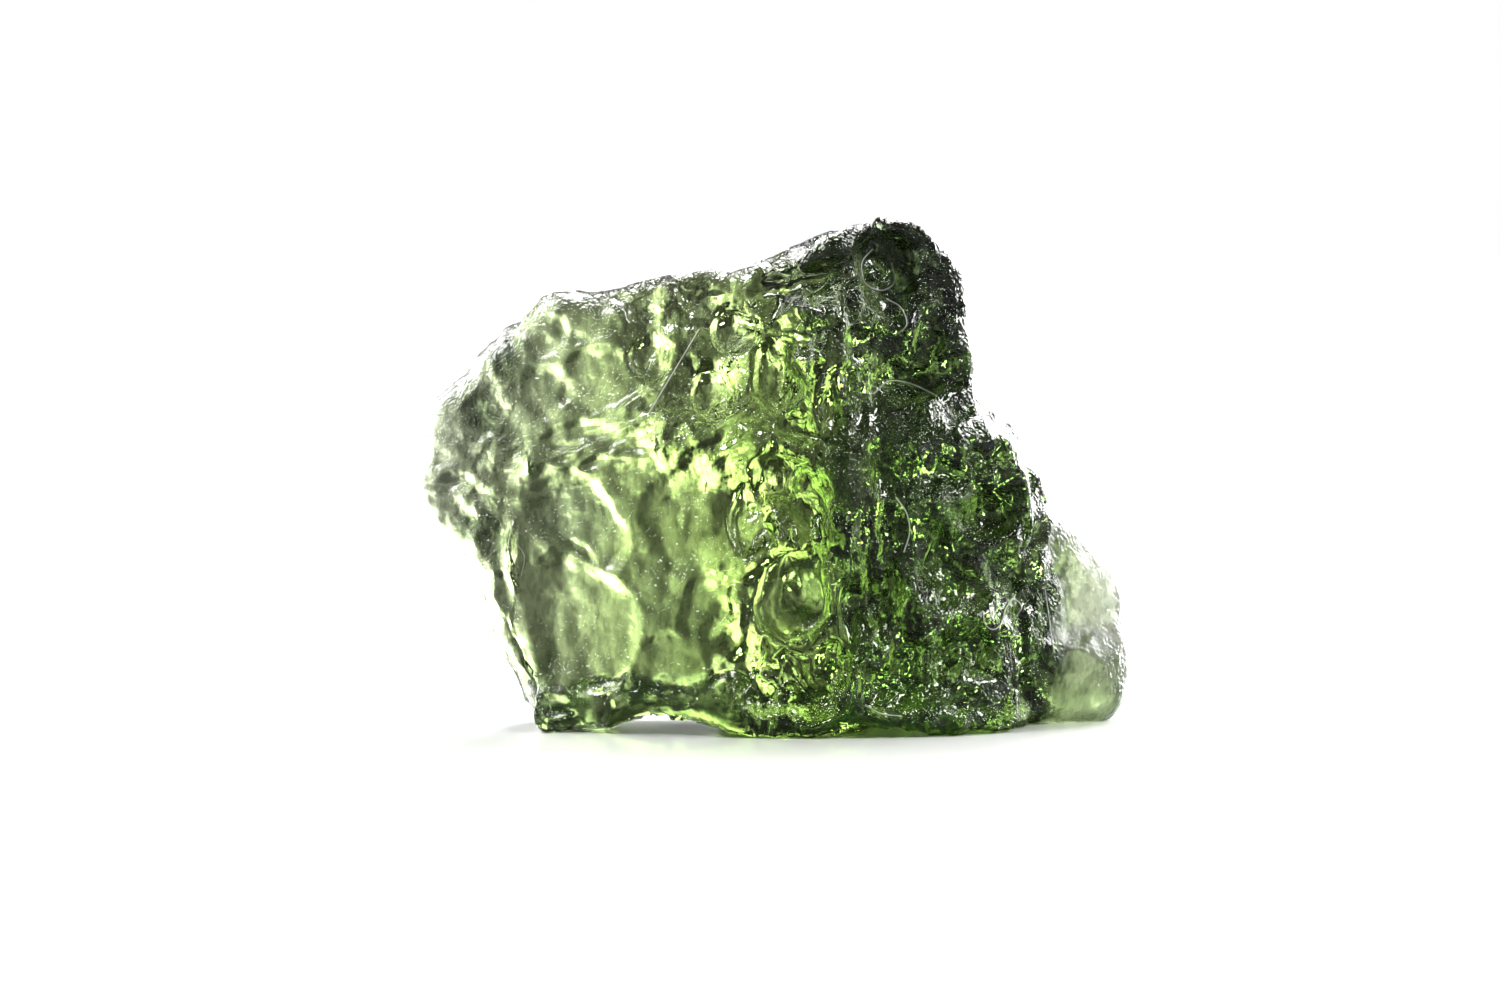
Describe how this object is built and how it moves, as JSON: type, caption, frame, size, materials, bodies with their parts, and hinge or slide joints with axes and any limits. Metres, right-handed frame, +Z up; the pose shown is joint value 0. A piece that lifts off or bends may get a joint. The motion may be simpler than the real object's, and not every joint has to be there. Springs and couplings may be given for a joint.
{
  "type": "moldavite",
  "caption": "Natural green glass stone with a corroded, pitted surface, a stepped front face and thin translucent lobes at both ends, upright on a small flat spot.",
  "frame": {"origin": "on the surface that the stone stands on, under the middle of its bounding box", "axes": "+X to the right along the broad face, +Y from the sculpted front face to the back, +Z up"},
  "size_m": [0.0266, 0.0098, 0.0188],
  "materials": {
    "moldavite_glass": "glossy natural glass, etched with fine pits and flow lines"
  },
  "bodies": {
    "root": {"moldavite": "moldavite_glass"}
  },
  "joints": []
}
